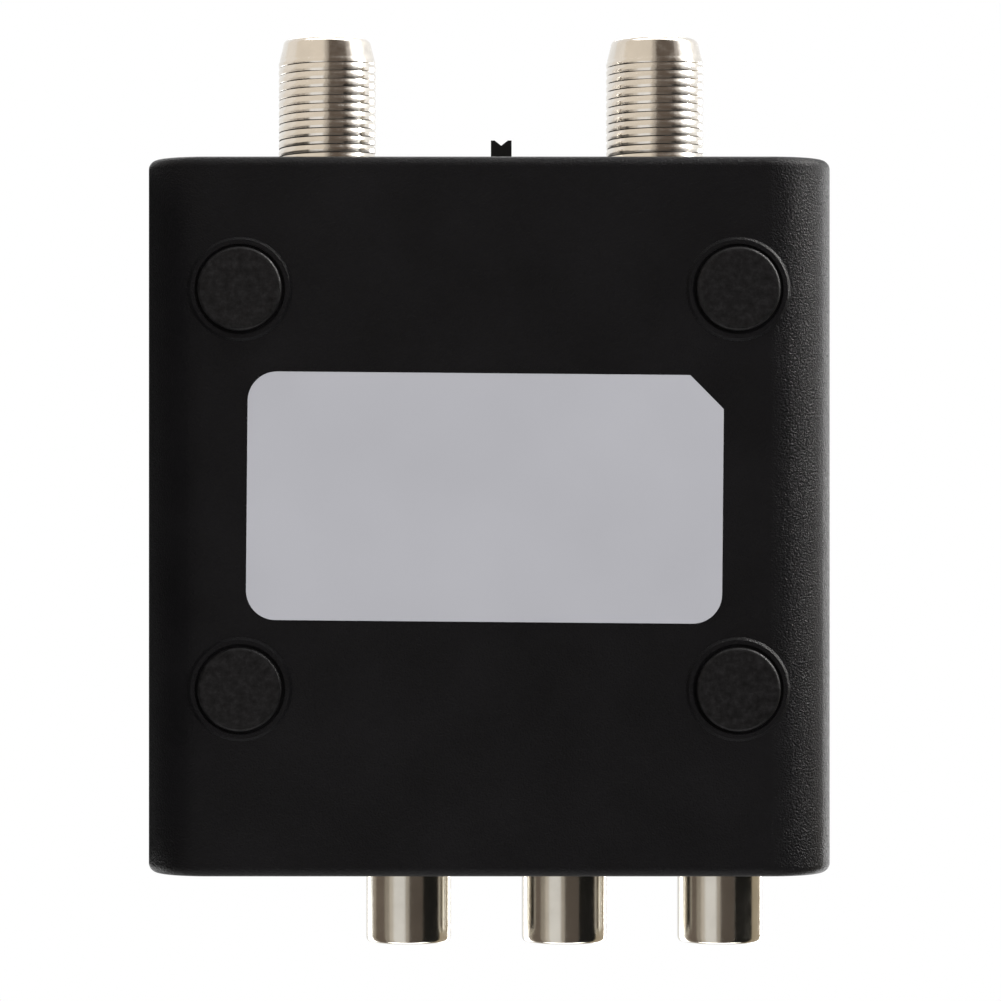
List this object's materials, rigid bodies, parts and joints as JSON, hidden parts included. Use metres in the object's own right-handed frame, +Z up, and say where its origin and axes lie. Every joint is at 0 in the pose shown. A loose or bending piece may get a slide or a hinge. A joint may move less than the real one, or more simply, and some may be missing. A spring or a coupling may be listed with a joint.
{
  "type": "rf modulator",
  "caption": "Small black set-top box that puts video and stereo sound on a television channel: phono and power inlets in front, coaxial sockets and a channel switch behind, on rubber feet.",
  "frame": {"origin": "on the floor plane under the feet, below the middle of the overall box", "axes": "+X to the right seen from the phono side, +Y from the phono side to the coaxial side, +Z up"},
  "size_m": [0.0656, 0.088, 0.023],
  "materials": {
    "case_plastic": "fine spark-eroded grain",
    "label_vinyl": "silver grey film, blank",
    "foot_rubber": "matte",
    "zinc_steel": "zinc plated",
    "board_green": "solder mask",
    "nickel": "bright nickel plate",
    "insulator_white": "moulded",
    "gold_contact": "gold flashed",
    "tinned_brass": "tinned",
    "tinned_steel": "tin plate",
    "yellow_plastic": "moulded",
    "white_plastic": "moulded",
    "red_plastic": "moulded",
    "black_plastic": "moulded",
    "phenolic": "laminate",
    "sleeve_blue": "shrunk sleeve",
    "ceramic_brown": "fired",
    "ferrite": "sintered",
    "enamelled_copper": "enamelled"
  },
  "bodies": {
    "modulator": {"bottom_shell": "case_plastic", "top_shell": "case_plastic", "label": "label_vinyl", "foot_front_left": "foot_rubber", "foot_front_right": "foot_rubber", "foot_rear_left": "foot_rubber", "foot_rear_right": "foot_rubber", "case_screws": "zinc_steel", "main_board": "board_green", "antenna_socket_barrel": "nickel", "antenna_socket_insulator": "insulator_white", "antenna_socket_contact": "gold_contact", "tv_socket_barrel": "nickel", "tv_socket_insulator": "insulator_white", "tv_socket_contact": "gold_contact", "video_socket_sleeve": "nickel", "video_socket_moulding": "yellow_plastic", "video_socket_contact": "tinned_brass", "left_audio_socket_sleeve": "nickel", "left_audio_socket_moulding": "white_plastic", "left_audio_socket_contact": "tinned_brass", "right_audio_socket_sleeve": "nickel", "right_audio_socket_moulding": "red_plastic", "right_audio_socket_contact": "tinned_brass", "power_socket_body": "black_plastic", "power_socket_pin": "nickel", "power_socket_spring": "tinned_brass", "switch_frame": "tinned_steel", "switch_base": "phenolic", "switch_terminals": "tinned_brass", "shield_frame": "tinned_steel", "shield_lid": "tinned_steel", "modulator_chip": "black_plastic", "audio_chip": "black_plastic", "regulator": "black_plastic", "crystal": "tinned_steel", "electrolytic_capacitors": "sleeve_blue", "chip_capacitors": "ceramic_brown", "chip_resistors": "black_plastic", "tuning_coils": "tinned_steel", "splitter_core": "ferrite", "splitter_winding": "enamelled_copper"},
    "channel_knob": {"switch_knob": "black_plastic", "switch_wiper": "gold_contact"}
  },
  "joints": [
    {"name": "channel_select", "type": "slide", "parent": "modulator", "child": "channel_knob", "axis": [1, 0, 0], "range_m": [0, 0.002]}
  ]
}
